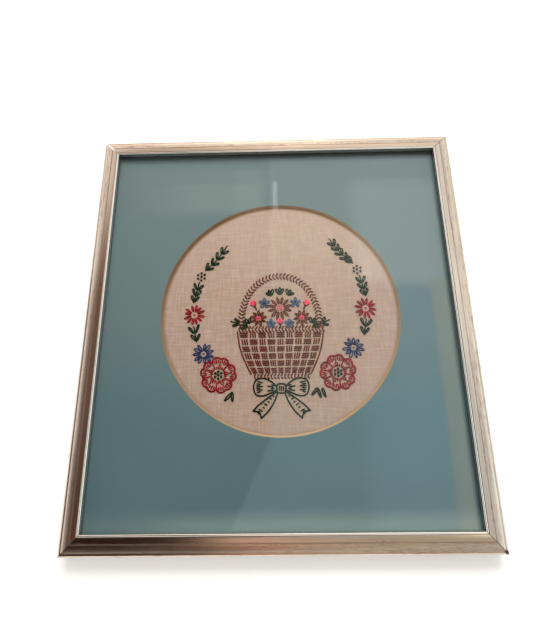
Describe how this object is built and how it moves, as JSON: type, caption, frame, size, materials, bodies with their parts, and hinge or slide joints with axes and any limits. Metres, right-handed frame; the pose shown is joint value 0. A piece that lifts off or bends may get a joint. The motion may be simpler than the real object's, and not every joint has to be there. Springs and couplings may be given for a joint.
{
  "type": "framed embroidery",
  "caption": "Embroidered linen behind a round window mat and glass, in a thin mitred champagne metallic frame that lies on its back.",
  "frame": {"origin": "centre of the back of the frame, on the surface that it lies on", "axes": "+X to the right of the picture, +Y towards its top, +Z out of its face"},
  "size_m": [0.2638, 0.2864, 0.016],
  "materials": {
    "moulding": "champagne silver leaf over dark brown, rubbed, half gloss",
    "glazing": "clear, polished",
    "mat_board": "matt dusty blue face, cream core",
    "linen": "plain-weave ecru linen with stranded cotton stitches",
    "backing": "matt grey-brown board"
  },
  "bodies": {
    "root": {"rail_bottom": "moulding", "rail_right": "moulding", "rail_top": "moulding", "rail_left": "moulding", "glass": "glazing", "mat": "mat_board", "linen": "linen", "backing_board": "backing"}
  },
  "joints": []
}
